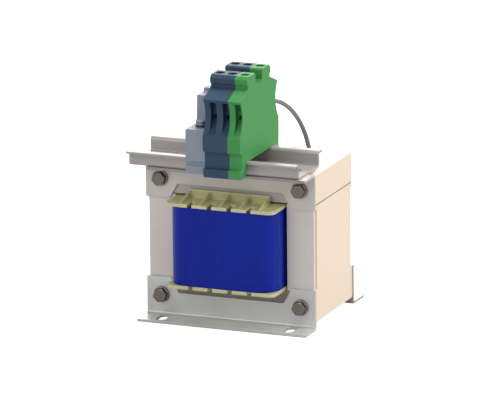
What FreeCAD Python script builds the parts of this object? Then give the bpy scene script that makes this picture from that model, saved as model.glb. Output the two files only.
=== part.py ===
import FreeCAD, Part
import Sketcher
import math
import os

os.makedirs("parts", exist_ok=True)
doc = FreeCAD.newDocument("iron_core_inductor")
Vector = FreeCAD.Vector

# Driving sizes in millimetres. X runs along the rail, Y towards the back, Z up from the floor.
# The origin lies on the floor under the middle of the whole, and every piece is placed from the core's middle.
sizes = [
    ("core_x", 1.45, "core's middle, right of the origin"),
    ("core_y", 5.1, "core's middle, behind the origin"),
    ("core_width", 84, "lamination, across the legs"),
    ("leg_width", 14, "outer leg"),
    ("centre_leg", 28, "middle leg"),
    ("back_height", 14, "back of the E"),
    ("window_height", 42, "window"),
    ("yoke_height", 14, "I yoke"),
    ("stack_depth", 47.5, "thickness of the stack"),
    ("core_gap", 0.5, "air gap between E and I"),
    ("gap_inset", 0.3, "spacer back from the edges"),
    ("core_lift", 3.7, "floor to the bottom of the core"),
    ("bolt_edge", 7, "clamp bolt to the core's edge"),
    ("relief_side", 0.6, "corner step between the brackets, sideways"),
    ("relief_face", 2.2, "corner step between the brackets, in depth"),
    ("sheet_thickness", 1.25, "bracket sheet"),
    ("sheet_bend", 1.0, "inner bend radius"),
    ("bracket_overhang", 0.5, "bracket beyond the core's side"),
    ("flange_reach", 14.1, "core face to the flange's front edge"),
    ("lower_ear", 8.5, "lower bolt axis to the ear's end"),
    ("upper_ear", 9.5, "upper bolt axis to the ear's end"),
    ("cut_width", 53, "bracket cut-out at its edge"),
    ("cut_depth", 7.3, "bracket cut-out"),
    ("cut_slant", 4, "cut-out's spread up to the ear's end"),
    ("flange_cut", 6, "upper flange, shortened at one end"),
    ("strip_inset", 0.5, "rear clamp strip inside the core's edges"),
    ("slot_pitch", 64, "flange slots, across"),
    ("slot_width", 4.8, "flange slot"),
    ("slot_length", 9.5, "flange slot, front to back"),
    ("slot_edge", 2.0, "flange slot to the flange's edge"),
    ("bobbin_side_gap", 0.8, "flange to the outer leg"),
    ("bobbin_end_gap", 0.4, "bobbin to the top and bottom of the window"),
    ("bobbin_leg_gap", 0.3, "tube to the centre leg"),
    ("tube_wall", 1.2, "bobbin tube"),
    ("flange_wall", 1.5, "bobbin flange"),
    ("bobbin_reach", 15.5, "core face to the flange's edge"),
    ("bobbin_corner", 3.5, "flange corner radius"),
    ("notch_pitch", 9.85, "lead notches"),
    ("notch_width", 2.4, "lead notch"),
    ("notch_depth", 6, "lead notch"),
    ("rib_wall_width", 40.6, "upright wall on the flange"),
    ("rib_wall_height", 3.9, "upright wall above the flange"),
    ("rib_wall_thickness", 1.0, "upright wall"),
    ("rib_wall_gap", 1.0, "upright wall to the core's face"),
    ("rib_thickness", 0.9, "gusset"),
    ("rib_edge", 1.6, "gusset's foot to the flange's edge"),
    ("coil_ledge", 1.0, "flange's edge to the coil"),
    ("coil_corner", 9, "coil's outer corner radius"),
    ("wrap_thickness", 0.6, "insulating wrap"),
    ("bolt_diameter", 4, "clamp bolts and rail rivets"),
    ("bolt_hole", 4.5, "holes for them"),
    ("head_flats", 7, "hexagon across flats"),
    ("head_height", 2.8, "bolt head"),
    ("nut_height", 3.2, "nut"),
    ("thread_overhang", 2, "thread beyond the nut"),
    ("washer_diameter", 9, "washer"),
    ("washer_thickness", 0.8, "washer"),
    ("rail_length", 84.8, "top-hat rail"),
    ("rail_shift", -3.0, "rail's middle, sideways"),
    ("rail_offset", 0.5, "rail's middle in front of the core's face"),
    ("rail_width", 35, "over the rail's edges"),
    ("rail_channel", 27, "over the rail's walls"),
    ("rail_height", 7.5, "rail"),
    ("rail_sheet", 1.0, "rail sheet"),
    ("rail_bend", 0.6, "rail inner bend radius"),
    ("rail_slot_length", 18, "rail slot"),
    ("rail_slot_width", 5.2, "rail slot"),
    ("rail_slot_pitch", 25, "rail slots"),
    ("rail_slot_end", 3.7, "last slot to the rail's right end"),
    ("rivet_head", 7.5, "rivet's head"),
    ("rivet_head_height", 1.4, "rivet's head"),
    ("rivet_tail", 6.4, "rivet's closed end"),
    ("rivet_tail_height", 1.1, "rivet's closed end"),
    ("terminal_width", 6.2, "one terminal"),
    ("terminal_start", -3.4, "left side of the first terminal"),
    ("terminal_offset", 0.9, "terminal's middle in front of the rail's"),
    ("base_half", 24.3, "half length of a terminal's base"),
    ("lip_half", 23.8, "foot lip, from the middle"),
    ("neck_half", 21.8, "face between lip and base, from the middle"),
    ("foot_drop", 7.0, "foot below the rail's top"),
    ("lip_height", 4.6, "foot lip"),
    ("base_step", 5.5, "rail's top to the base's lower edge"),
    ("waist_start", 12.6, "rail's top to the start of the waist"),
    ("waist_radius", 13.7, "hollow waist"),
    ("shoulder_half", 23.2, "half length at the shoulder"),
    ("shoulder_height", 30.0, "rail's top to the shoulder"),
    ("tower_outer", 14.5, "tower's outer face, from the middle"),
    ("tower_inner", 4.2, "tower's inner face, from the middle"),
    ("tower_foot", 36.0, "rail's top to the tower's foot"),
    ("tower_top", 39.9, "rail's top to the tower's top"),
    ("tower_chamfer", 1.4, "tower's edges"),
    ("groove_height", 2.2, "groove below the tower"),
    ("groove_depth", 1.1, "groove below the tower"),
    ("valley_height", 33.3, "rail's top to the valley between towers"),
    ("funnel_side", 2.7, "funnel to the terminal's left side"),
    ("funnel_width", 3.1, "wire funnel"),
    ("funnel_top", 28.6, "rail's top to the funnel's top"),
    ("funnel_foot", 13.6, "rail's top to the funnel's foot"),
    ("funnel_depth", 7.5, "funnel, in from the base"),
    ("wire_hole", 2.8, "hole from funnel to clamp"),
    ("wire_height", 20.8, "rail's top to the wire"),
    ("clamp_reach", 9.4, "clamp screw from the middle"),
    ("screw_hole", 4.4, "screw shaft"),
    ("screw_head", 4.0, "clamp screw's head"),
    ("screw_head_height", 2.0, "clamp screw's head"),
    ("screw_sink", 4.6, "clamp screw below the tower's top"),
    ("screw_slot", 0.8, "clamp screw's slot"),
    ("screw_thread", 2.8, "clamp screw's thread"),
    ("screw_bore", 3.1, "bore for it"),
    ("cage_length", 5.2, "clamp cage, along the terminal"),
    ("cage_width", 4.2, "clamp cage, across"),
    ("cage_height", 8.4, "clamp cage"),
    ("cage_wall", 0.6, "clamp cage's loop"),
    ("cage_nut", 3.0, "clamp cage's threaded top"),
    ("cage_space", 0.3, "clearance round the cage"),
    ("bar_width", 2.4, "current bar"),
    ("bar_thickness", 1.0, "current bar"),
    ("bar_half", 11.6, "half length of the current bar"),
    ("bar_space", 0.2, "clearance round the bar"),
    ("end_width", 10, "end bracket"),
    ("end_front", 21.0, "end bracket's front, from the middle"),
    ("end_back", 21.5, "end bracket's rear, from the middle"),
    ("end_deck", 14.5, "rail's top to the front deck"),
    ("end_tower_front", 6.1, "end tower's front, from the middle"),
    ("end_tower_back", 12.0, "end tower's rear, from the middle"),
    ("end_top", 27.4, "rail's top to the end tower's top"),
    ("end_peg", 1.6, "raised peg on the end tower"),
    ("end_screw_reach", 13.8, "end screw from the middle"),
    ("end_screw_head", 5.6, "end screw's head"),
    ("end_screw_length", 11, "end screw's thread"),
    ("hook_nib", 1.1, "nib under the rail's edge"),
    ("hook_space", 0.15, "clearance round the rail's edge"),
    ("lead_diameter", 2.2, "coil lead"),
]

sheet = doc.addObject("Spreadsheet::Sheet", "dim")
for row, (alias, value, meaning) in enumerate(sizes, start=1):
    sheet.set(f"A{row}", meaning)
    sheet.set(f"B{row}", str(value))
    sheet.setAlias(f"B{row}", alias)
doc.recompute()


def value(formula):
    return float(sheet.evalExpression(formula))


# Levels and planes that several pieces share, as formulas on the sheet.
e_height = "(dim.back_height + dim.window_height)"
core_height = f"({e_height} + dim.core_gap + dim.yoke_height)"
core_top = f"(dim.core_lift + {core_height})"
half_stack = "(dim.stack_depth / 2)"
bracket_width = "(dim.core_width + 2 * dim.bracket_overhang)"
rail_floor = f"({core_top} + dim.sheet_thickness)"
rail_top = f"({rail_floor} + dim.rail_height)"
rail_middle = f"(-{half_stack} - dim.rail_offset)"
terminal_middle = f"({rail_middle} - dim.terminal_offset)"
slot_middle = "(dim.flange_reach - dim.slot_edge - dim.slot_length / 2)"
bolt_pitch = "(dim.core_width - dim.leg_width)"
bolt_axis_low = "(dim.core_lift + dim.bolt_edge)"
bolt_axis_high = f"({core_top} - dim.bolt_edge)"


# Modelling helpers.
def new_body(label):
    body = doc.addObject("PartDesign::Body", label)
    body.Label = label
    return body


def place(item, x="0", y="0", z="0", axis=None, angle=0):
    if axis:
        item.Placement = FreeCAD.Placement(Vector(), FreeCAD.Rotation(axis, angle))
    shifted = (("x", f"{x} + dim.core_x"), ("y", f"{y} + dim.core_y"), ("z", z))
    for name, formula in shifted:
        item.setExpression(f"Placement.Base.{name}", formula)


def new_sketch(body, role, level=None):
    sketch = body.newObject("Sketcher::SketchObject", f"{body.Name}_sketch")
    plane = [item for item in body.Origin.OriginFeatures if item.Role == role][0]
    sketch.AttachmentSupport = [(plane, "")]
    sketch.MapMode = "FlatFace"
    if level:
        sketch.setExpression("AttachmentOffset.Base.z", level)
    return sketch


def pin_point(sketch, index, end, x, y):
    for kind, formula in (("DistanceX", x), ("DistanceY", y)):
        number = sketch.addConstraint(
            Sketcher.Constraint(kind, -1, 1, index, end, value(formula))
        )
        sketch.setExpression(f"Constraints[{number}]", formula)


def arc_through(start, end, radius, turn):
    """Arc of the given radius; turn is 1 for anticlockwise and -1 for clockwise."""
    chord = end - start
    middle = (start + end) / 2
    rise = math.sqrt(max(radius**2 - (chord.Length / 2) ** 2, 0))
    side = Vector(-chord.y, chord.x, 0).normalize() * rise * turn
    centre = middle + side
    first, last = (start, end) if turn > 0 else (end, start)
    begin = math.atan2(first.y - centre.y, first.x - centre.x)
    finish = math.atan2(last.y - centre.y, last.x - centre.x)
    circle = Part.Circle(centre, Vector(0, 0, 1), radius)
    return Part.ArcOfCircle(circle, begin, finish)


def draw_outline(sketch, corners):
    """Closed outline; a corner may add a radius and a turn for the arc that leaves it."""
    points = [Vector(value(c[0]), value(c[1]), 0) for c in corners]
    ends = []
    for number, corner in enumerate(corners):
        start, end = points[number], points[(number + 1) % len(points)]
        if len(corner) == 2:
            index = sketch.addGeometry(Part.LineSegment(start, end), False)
            ends.append((index, 1, 2))
            continue
        radius, turn = corner[2], corner[3]
        if radius == "half circle":
            arc = arc_through(start, end, (end - start).Length / 2, turn)
            index = sketch.addGeometry(arc, False)
            level = "Vertical" if near(start.x, end.x) else "Horizontal"
            sketch.addConstraint(Sketcher.Constraint(level, index, 1, index, 3))
        else:
            arc = arc_through(start, end, value(radius), turn)
            index = sketch.addGeometry(arc, False)
            sized = sketch.addConstraint(Sketcher.Constraint("Radius", index, value(radius)))
            sketch.setExpression(f"Constraints[{sized}]", radius)
        ends.append((index, 1, 2) if turn > 0 else (index, 2, 1))
    for number, (index, start, end) in enumerate(ends):
        following, following_start, _ = ends[(number + 1) % len(ends)]
        sketch.addConstraint(
            Sketcher.Constraint("Coincident", index, end, following, following_start)
        )
        pin_point(sketch, index, start, corners[number][0], corners[number][1])


def draw_circle(sketch, x, y, diameter):
    centre = Vector(value(x), value(y), 0)
    circle = Part.Circle(centre, Vector(0, 0, 1), value(diameter) / 2)
    index = sketch.addGeometry(circle, False)
    pin_point(sketch, index, 3, x, y)
    sized = sketch.addConstraint(Sketcher.Constraint("Diameter", index, value(diameter)))
    sketch.setExpression(f"Constraints[{sized}]", diameter)


def box_corners(left, right, low, high):
    return [(left, low), (right, low), (right, high), (left, high)]


def mirrored(points):
    """The same corners on the other side of the middle, in reverse order."""
    turned = []
    for number in range(len(points) - 1, -1, -1):
        arc = points[number - 1][2:] if number else ()
        turned.append((f"-({points[number][0]})", points[number][1], *arc))
    return turned


def slot_corners(x, y, length, width, along_x):
    """Slot with round ends, its length along X or along Y."""
    half, straight = f"({width}) / 2", f"(({length}) - ({width})) / 2"
    if along_x:
        return [
            (f"{x} - {straight}", f"{y} - {half}"),
            (f"{x} + {straight}", f"{y} - {half}", "half circle", 1),
            (f"{x} + {straight}", f"{y} + {half}"),
            (f"{x} - {straight}", f"{y} + {half}", "half circle", 1),
        ]
    return [
        (f"{x} + {half}", f"{y} - {straight}"),
        (f"{x} + {half}", f"{y} + {straight}", "half circle", 1),
        (f"{x} - {half}", f"{y} + {straight}"),
        (f"{x} - {half}", f"{y} - {straight}", "half circle", 1),
    ]


def add_pad(body, sketch, length, symmetric=False, reverse=False):
    pad = body.newObject("PartDesign::Pad", f"{body.Name}_pad")
    pad.Profile = sketch
    pad.setExpression("Length", length)
    pad.SideType = "Symmetric" if symmetric else "One side"
    pad.Reversed = reverse
    return pad


def add_pocket(body, sketch, length=None, reverse=False):
    """Pocket of a set length, or through the whole body both ways."""
    doc.recompute()
    before = body.Shape.Volume
    pocket = body.newObject("PartDesign::Pocket", f"{body.Name}_pocket")
    pocket.Profile = sketch
    pocket.Reversed = reverse
    if length is None:
        pocket.Type = "ThroughAll"
        pocket.SideType = "Symmetric"
    else:
        pocket.setExpression("Length", length)
    doc.recompute()
    if not pocket.Shape.Volume < before - 1e-6:
        raise ValueError(f"{pocket.Name} cuts nothing")
    return pocket


def dress_edges(body, kind, size, chosen):
    """Fillet or chamfer on the edges that the test picks from the body's last feature."""
    doc.recompute()
    base = body.Tip
    names = [
        f"Edge{number}"
        for number, edge in enumerate(base.Shape.Edges, start=1)
        if chosen(edge)
    ]
    if not names:
        raise ValueError(f"no edge of {body.Label} to dress")
    dressed = body.newObject(f"PartDesign::{kind}", f"{body.Name}_{kind.lower()}")
    dressed.Base = (base, names)
    dressed.setExpression("Radius" if kind == "Fillet" else "Size", size)
    doc.recompute()
    return dressed


def edge_runs(edge, direction):
    """True for a straight edge along the given axis."""
    if not isinstance(edge.Curve, (Part.Line, Part.LineSegment)):
        return False
    first, last = edge.Vertexes[0].Point, edge.Vertexes[-1].Point
    return abs((last - first).normalize().dot(direction)) > 0.999


def near(a, b):
    return abs(a - b) < 0.01


# Core: stacked E laminations with the legs up, I laminations across the top.
def make_e_core():
    body = new_body("e_core_stack")
    half, inner = "dim.core_width / 2", "dim.core_width / 2 - dim.leg_width"
    centre = "dim.centre_leg / 2"
    outline = new_sketch(body, "XZ_Plane")
    draw_outline(
        outline,
        [
            (f"-({half})", "0"),
            (half, "0"),
            (half, e_height),
            (inner, e_height),
            (inner, "dim.back_height"),
            (centre, "dim.back_height"),
            (centre, e_height),
            (f"-({centre})", e_height),
            (f"-({centre})", "dim.back_height"),
            (f"-({inner})", "dim.back_height"),
            (f"-({inner})", e_height),
            (f"-({half})", e_height),
        ],
    )
    add_pad(body, outline, "dim.stack_depth", symmetric=True)
    holes = new_sketch(body, "XZ_Plane")
    for side in ("-", ""):
        draw_circle(holes, f"{side}{bolt_pitch} / 2", "dim.bolt_edge", "dim.bolt_hole")
    add_pocket(body, holes)
    ear_low = "dim.bolt_edge + dim.lower_ear"
    ear_high = f"{core_height} - dim.bolt_edge - dim.upper_ear"
    steps = new_sketch(body, "XY_Plane", ear_low)
    for across in (-1, 1):
        for deep in (-1, 1):
            xs = [f"{across} * ({half} - dim.relief_side)", f"{across} * ({half} + 1)"]
            ys = [f"{deep} * ({half_stack} - dim.relief_face)", f"{deep} * ({half_stack} + 1)"]
            draw_outline(steps, box_corners(xs[0], xs[1], ys[0], ys[1]))
    add_pocket(body, steps, f"{ear_high} - ({ear_low})", reverse=True)
    place(body, z="dim.core_lift")
    return body


def make_i_yoke():
    body = new_body("i_core_yoke")
    half = "dim.core_width / 2"
    outline = new_sketch(body, "XZ_Plane")
    draw_outline(outline, box_corners(f"-({half})", half, "0", "dim.yoke_height"))
    add_pad(body, outline, "dim.stack_depth", symmetric=True)
    holes = new_sketch(body, "XZ_Plane")
    for side in ("-", ""):
        draw_circle(
            holes,
            f"{side}{bolt_pitch} / 2",
            "dim.yoke_height - dim.bolt_edge",
            "dim.bolt_hole",
        )
    add_pocket(body, holes)
    place(body, z=f"dim.core_lift + {e_height} + dim.core_gap")
    return body


def make_gap_spacer():
    spacer = doc.addObject("Part::Box", "air_gap_spacer")
    spacer.Label = "air_gap_spacer"
    spacer.setExpression("Length", "dim.core_width - 2 * dim.gap_inset")
    spacer.setExpression("Width", "dim.stack_depth - 2 * dim.gap_inset")
    spacer.setExpression("Height", "dim.core_gap")
    place(
        spacer,
        x="-dim.core_width / 2 + dim.gap_inset",
        y=f"-{half_stack} + dim.gap_inset",
        z=f"dim.core_lift + {e_height}",
    )
    return spacer


# Coil: moulded bobbin with notched flanges, copper winding and a blue wrap.
bobbin_half_x = "(dim.core_width / 2 - dim.leg_width - dim.bobbin_side_gap)"
bobbin_half_y = f"({half_stack} + dim.bobbin_reach)"
bobbin_height = "(dim.window_height - 2 * dim.bobbin_end_gap)"
bobbin_floor = "(dim.core_lift + dim.back_height + dim.bobbin_end_gap)"
tube_half_x = "(dim.centre_leg / 2 + dim.bobbin_leg_gap)"
tube_half_y = f"({half_stack} + dim.bobbin_leg_gap)"
coil_half_x = f"({bobbin_half_x} - dim.coil_ledge / 2)"
coil_half_y = f"({bobbin_half_y} - dim.coil_ledge)"


def centred_box(half_x, half_y):
    return box_corners(f"-({half_x})", half_x, f"-({half_y})", half_y)


def vertical_edge_at(half_x, half_y):
    """Test for the four upright edges at the corners of a centred box."""
    x, y = value(half_x), value(half_y)

    def chosen(edge):
        middle = edge.CenterOfMass
        upright = edge_runs(edge, Vector(0, 0, 1))
        return upright and near(abs(middle.x), x) and near(abs(middle.y), y)

    return chosen


def make_bobbin():
    body = new_body("bobbin")
    top_flange = f"{bobbin_height} - dim.flange_wall"
    for level in ("0", top_flange):
        flange = new_sketch(body, "XY_Plane", level)
        draw_outline(flange, centred_box(bobbin_half_x, bobbin_half_y))
        add_pad(body, flange, "dim.flange_wall")
        if level == "0":
            tube = new_sketch(body, "XY_Plane")
            draw_outline(
                tube,
                centred_box(f"{tube_half_x} + dim.tube_wall", f"{tube_half_y} + dim.tube_wall"),
            )
            add_pad(body, tube, bobbin_height)
    bore = new_sketch(body, "XY_Plane")
    draw_outline(bore, centred_box(tube_half_x, tube_half_y))
    add_pocket(body, bore)
    dress_edges(body, "Fillet", "dim.bobbin_corner", vertical_edge_at(bobbin_half_x, bobbin_half_y))
    notches = new_sketch(body, "XY_Plane")
    for deep in (-1, 1):
        for step in (-1.5, -0.5, 0.5, 1.5):
            left = f"{step} * dim.notch_pitch - dim.notch_width / 2"
            draw_outline(
                notches,
                box_corners(
                    left,
                    f"{left} + dim.notch_width",
                    f"{deep} * ({bobbin_half_y} - dim.notch_depth)",
                    f"{deep} * ({bobbin_half_y} + 1)",
                ),
            )
    add_pocket(body, notches)
    make_rib_walls(body)
    place(body, z=bobbin_floor)
    return body


def make_rib_walls(body):
    """Upright wall on the upper flange, front and back, with a gusset between the notches."""
    wall_face = f"({half_stack} + dim.rib_wall_gap)"
    wall_front = f"({wall_face} + dim.rib_wall_thickness)"
    root = f"({bobbin_height} - dim.flange_wall / 2)"
    rise = "(dim.rib_wall_height + dim.flange_wall / 2)"
    for deep in (-1, 1):
        wall = new_sketch(body, "XY_Plane", root)
        draw_outline(
            wall,
            box_corners(
                "-dim.rib_wall_width / 2",
                "dim.rib_wall_width / 2",
                f"{deep} * {wall_face}",
                f"{deep} * {wall_front}",
            ),
        )
        add_pad(body, wall, rise)
        for step in (-2, -1, 0, 1, 2):
            gusset = new_sketch(body, "YZ_Plane", f"{step} * (dim.notch_pitch)")
            draw_outline(
                gusset,
                [
                    (f"{deep} * ({wall_front} - dim.rib_wall_thickness / 2)", root),
                    (f"{deep} * ({bobbin_half_y} - dim.rib_edge)", root),
                    (f"{deep} * ({bobbin_half_y} - dim.rib_edge)", f"{bobbin_height} + 0.3"),
                    (
                        f"{deep} * ({wall_front} - dim.rib_wall_thickness / 2)",
                        f"{bobbin_height} + dim.rib_wall_height - 0.3",
                    ),
                ],
            )
            add_pad(body, gusset, "dim.rib_thickness", symmetric=True)


def rounded_box(half_x, half_y, radius):
    """Centred rectangle with rounded corners, anticlockwise."""
    x, y = f"({half_x} - ({radius}))", f"({half_y} - ({radius}))"
    return [
        (f"{half_x}", f"-{y}"),
        (f"{half_x}", y, radius, 1),
        (x, f"{half_y}"),
        (f"-{x}", f"{half_y}", radius, 1),
        (f"-({half_x})", y),
        (f"-({half_x})", f"-{y}", radius, 1),
        (f"-{x}", f"-({half_y})"),
        (x, f"-({half_y})", radius, 1),
    ]


def make_coil_ring(label, outer, inner):
    """Closed ring between the flanges, round the tube."""
    body = new_body(label)
    ring = new_sketch(body, "XY_Plane")
    draw_outline(ring, outer)
    draw_outline(ring, inner)
    add_pad(body, ring, f"{bobbin_height} - 2 * dim.flange_wall")
    place(body, z=f"{bobbin_floor} + dim.flange_wall")
    return body


def make_winding():
    winding = rounded_box(
        f"({coil_half_x} - dim.wrap_thickness)",
        f"({coil_half_y} - dim.wrap_thickness)",
        "(dim.coil_corner - dim.wrap_thickness)",
    )
    tube = centred_box(f"{tube_half_x} + dim.tube_wall", f"{tube_half_y} + dim.tube_wall")
    return make_coil_ring("copper_winding", winding, tube)


def make_wrap():
    outside = rounded_box(coil_half_x, coil_half_y, "dim.coil_corner")
    inside = rounded_box(
        f"({coil_half_x} - dim.wrap_thickness)",
        f"({coil_half_y} - dim.wrap_thickness)",
        "(dim.coil_corner - dim.wrap_thickness)",
    )
    return make_coil_ring("coil_wrap", outside, inside)


# Brackets: bent sheet angles. Own frame: flange outside at z = 0, core side of the plate at y = 0.
def make_bracket(label, bolt_level, ear, shortened):
    body = new_body(label)
    height = f"({bolt_level} + {ear})"
    half = f"({bracket_width} / 2)"
    outer_bend = "(dim.sheet_bend + dim.sheet_thickness)"
    angle = new_sketch(body, "YZ_Plane")
    draw_outline(
        angle,
        [
            ("0", height),
            ("-dim.sheet_thickness", height),
            ("-dim.sheet_thickness", outer_bend, "dim.sheet_bend", -1),
            (f"-{outer_bend}", "dim.sheet_thickness"),
            ("-dim.flange_reach", "dim.sheet_thickness"),
            ("-dim.flange_reach", "0"),
            (f"-{outer_bend}", "0", outer_bend, 1),
            ("0", outer_bend),
        ],
    )
    add_pad(body, angle, bracket_width, symmetric=True)
    cut = new_sketch(body, "XZ_Plane")
    cut_half = "dim.cut_width / 2"
    spread = f"({cut_half} + dim.cut_slant)"
    draw_outline(
        cut,
        [
            (f"-({cut_half})", f"{height} - dim.cut_depth"),
            (cut_half, f"{height} - dim.cut_depth"),
            (spread, height),
            (spread, f"{height} + 1"),
            (f"-{spread}", f"{height} + 1"),
            (f"-{spread}", height),
        ],
    )
    add_pocket(body, cut)
    holes = new_sketch(body, "XZ_Plane")
    for side in ("-", ""):
        draw_circle(holes, f"{side}{bolt_pitch} / 2", bolt_level, "dim.bolt_hole")
    add_pocket(body, holes)
    slots = new_sketch(body, "XY_Plane")
    for side in (-1, 1):
        draw_outline(
            slots,
            slot_corners(
                f"{side} * dim.slot_pitch / 2",
                f"-{slot_middle}",
                "dim.slot_length",
                "dim.slot_width",
                along_x=False,
            ),
        )
    add_pocket(body, slots)
    if shortened:
        end = new_sketch(body, "XY_Plane")
        draw_outline(
            end,
            box_corners(
                f"{half} - dim.flange_cut",
                f"{half} + 1",
                "-dim.flange_reach - 1",
                f"-{outer_bend}",
            ),
        )
        add_pocket(body, end)
    return body


def make_brackets():
    lower, upper = "dim.core_lift + dim.bolt_edge", "dim.sheet_thickness + dim.bolt_edge"
    turns = [
        ("lower_front_bracket", lower, "dim.lower_ear", -1, "0", None, 0),
        ("lower_rear_bracket", lower, "dim.lower_ear", 1, "0", Vector(0, 0, 1), 180),
        ("upper_front_bracket", upper, "dim.upper_ear", -1, rail_floor, Vector(0, 1, 0), 180),
    ]
    made = []
    for label, level, ear, side, base, axis, angle in turns:
        body = make_bracket(label, level, ear, shortened=label.startswith("upper"))
        place(body, y=f"{side} * {half_stack}", z=base, axis=axis, angle=angle)
        made.append(body)
    return made + [make_rear_strip("upper_rear_bracket")]


# Rear clamp strip: flat sheet behind the yoke, with the same cut-out as the brackets.
def make_rear_strip(label):
    body = new_body(label)
    half = "(dim.core_width / 2 - dim.strip_inset)"
    drop = "(dim.bolt_edge + dim.upper_ear)"
    cut_half = "dim.cut_width / 2"
    sheet = new_sketch(body, "XZ_Plane")
    draw_outline(
        sheet,
        [
            (f"-{half}", "-dim.strip_inset"),
            (f"-{half}", f"-{drop}"),
            (f"-({cut_half} + dim.cut_slant)", f"-{drop}"),
            (f"-({cut_half})", f"-{drop} + dim.cut_depth"),
            (cut_half, f"-{drop} + dim.cut_depth"),
            (f"({cut_half} + dim.cut_slant)", f"-{drop}"),
            (half, f"-{drop}"),
            (half, "-dim.strip_inset"),
        ],
    )
    for side in ("-", ""):
        draw_circle(sheet, f"{side}{bolt_pitch} / 2", "-dim.bolt_edge", "dim.bolt_hole")
    add_pad(body, sheet, "dim.sheet_thickness", reverse=True)
    place(body, y=half_stack, z=core_top)
    return body


# Hexagon hardware. Own frame: seat at z = 0, head or nut towards +z, shank towards -z.
def hexagon_corners(flats):
    corner = f"(({flats}) / sqrt(3))"
    side = f"({flats}) / 2"
    return [
        (corner, "0"),
        (f"{corner} / 2", side),
        (f"-{corner} / 2", side),
        (f"-{corner}", "0"),
        (f"-{corner} / 2", f"-{side}"),
        (f"{corner} / 2", f"-{side}"),
    ]


def round_hexagon_top(body, flats, height):
    """Takes the hexagon's corners down to a cone at 30 degrees."""
    inner, outer = f"({flats}) * 0.475", f"({flats}) * 0.6"
    profile = new_sketch(body, "XZ_Plane")
    draw_outline(
        profile,
        [
            (inner, height),
            (outer, f"{height} - ({outer} - {inner}) / sqrt(3)"),
            (outer, f"{height} + 0.5"),
            (inner, f"{height} + 0.5"),
        ],
    )
    groove = body.newObject("PartDesign::Groove", f"{body.Name}_groove")
    groove.Profile = profile
    groove.ReferenceAxis = (profile, ["V_Axis"])
    groove.Angle = 360
    doc.recompute()


def make_hex_bolt(label, length):
    body = new_body(label)
    head = new_sketch(body, "XY_Plane")
    draw_outline(head, hexagon_corners("dim.head_flats"))
    add_pad(body, head, "dim.head_height")
    shank = new_sketch(body, "XY_Plane")
    draw_circle(shank, "0", "0", "dim.bolt_diameter")
    add_pad(body, shank, length, reverse=True)
    round_hexagon_top(body, "dim.head_flats", "dim.head_height")
    return body


def make_nut(label):
    body = new_body(label)
    blank = new_sketch(body, "XY_Plane")
    draw_outline(blank, hexagon_corners("dim.head_flats"))
    draw_circle(blank, "0", "0", "dim.bolt_diameter")
    add_pad(body, blank, "dim.nut_height")
    round_hexagon_top(body, "dim.head_flats", "dim.nut_height")
    return body


def make_washer(label):
    body = new_body(label)
    ring = new_sketch(body, "XY_Plane")
    draw_circle(ring, "0", "0", "dim.washer_diameter")
    draw_circle(ring, "0", "0", "dim.bolt_hole")
    add_pad(body, ring, "dim.washer_thickness")
    return body


# Clamp bolts run from the front brackets to nuts behind the rear ones.
def make_clamp_set():
    made = []
    plate_front = f"({half_stack} + dim.sheet_thickness)"
    length = (
        "dim.stack_depth + 2 * dim.sheet_thickness + dim.washer_thickness"
        " + dim.nut_height + dim.thread_overhang"
    )
    for level, z in (("lower", bolt_axis_low), ("upper", bolt_axis_high)):
        for side, sign in (("left", "-"), ("right", "")):
            x = f"{sign}{bolt_pitch} / 2"
            bolt = make_hex_bolt(f"clamp_bolt_{level}_{side}", length)
            place(bolt, x, f"-{plate_front}", z, Vector(1, 0, 0), 90)
            washer = make_washer(f"clamp_washer_{level}_{side}")
            place(washer, x, plate_front, z, Vector(1, 0, 0), -90)
            nut = make_nut(f"clamp_nut_{level}_{side}")
            nut_seat = f"{plate_front} + dim.washer_thickness"
            place(nut, x, nut_seat, z, Vector(1, 0, 0), -90)
            made += [bolt, washer, nut]
    return made


# Top-hat rail, riveted to the upper front bracket's flange.
rivet_x = "dim.slot_pitch / 2"
rivet_y = f"(-{half_stack} - {slot_middle})"


def make_rail():
    body = new_body("din_rail")
    wall, edge = "dim.rail_channel / 2", "dim.rail_width / 2"
    top, skin = "dim.rail_height", "dim.rail_sheet"
    inner, outer = "dim.rail_bend", "(dim.rail_bend + dim.rail_sheet)"
    right = [
        (f"{wall} - {outer}", "0", outer, 1),
        (wall, outer),
        (wall, f"{top} - {outer}", inner, -1),
        (f"{wall} + {inner}", f"{top} - {skin}"),
        (edge, f"{top} - {skin}"),
        (edge, top),
        (f"{wall} + {inner}", top, outer, 1),
        (f"{wall} - {skin}", f"{top} - {outer}"),
        (f"{wall} - {skin}", outer, inner, -1),
        (f"{wall} - {outer}", skin),
    ]
    profile = new_sketch(body, "YZ_Plane")
    draw_outline(profile, right + mirrored(right))
    add_pad(body, profile, "dim.rail_length", symmetric=True)
    slots = new_sketch(body, "XY_Plane")
    first = "(dim.rail_length / 2 - dim.rail_slot_end - dim.rail_slot_length / 2)"
    draw_outline(
        slots,
        slot_corners(first, "0", "dim.rail_slot_length", "dim.rail_slot_width", along_x=True),
    )
    for side in ("-", ""):
        x = f"{side}{rivet_x} - dim.rail_shift"
        draw_circle(slots, x, f"{rivet_y} - {rail_middle}", "dim.bolt_hole")
    add_pocket(body, slots)
    for step in (1, 2):
        more = new_sketch(body, "XY_Plane")
        x = f"({first} - {step} * dim.rail_slot_pitch)"
        draw_outline(
            more,
            slot_corners(x, "0", "dim.rail_slot_length", "dim.rail_slot_width", along_x=True),
        )
        add_pocket(body, more)
    place(body, x="dim.rail_shift", y=rail_middle, z=rail_floor)
    return body


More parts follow.
